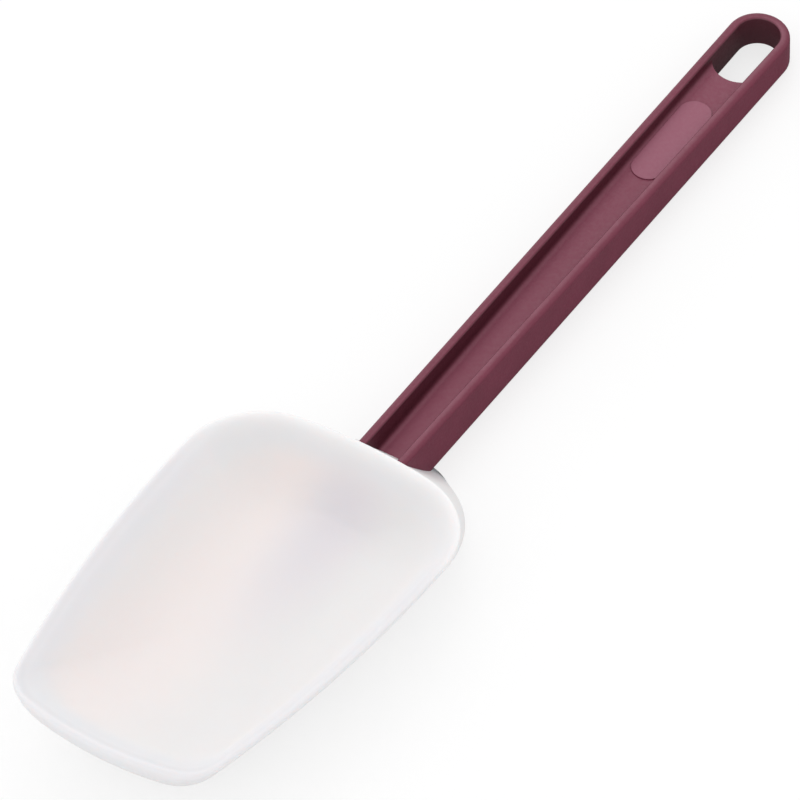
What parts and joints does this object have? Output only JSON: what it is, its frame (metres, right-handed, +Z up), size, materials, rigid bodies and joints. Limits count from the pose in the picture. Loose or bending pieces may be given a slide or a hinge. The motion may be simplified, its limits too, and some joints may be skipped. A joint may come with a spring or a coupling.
{
  "type": "silicone spoon spatula",
  "caption": "Spoon-shaped kitchen spatula: a shallow white silicone scoop with a thin lip, moulded over the tang of a channelled plastic handle with a hanging slot.",
  "frame": {"origin": "centre of the bounding box on the surface that the spatula lies on", "axes": "+Y along the handle from the blade's tip to the hanging slot, +Z up out of the open side of the blade's bowl, +X to the right"},
  "size_m": [0.0668, 0.27, 0.0248],
  "materials": {
    "handle": "satin moulded maroon plastic with a fine grain",
    "blade": "smooth satin white silicone, faintly translucent"
  },
  "bodies": {
    "root": {"handle": "handle", "blade": "blade"}
  },
  "joints": []
}
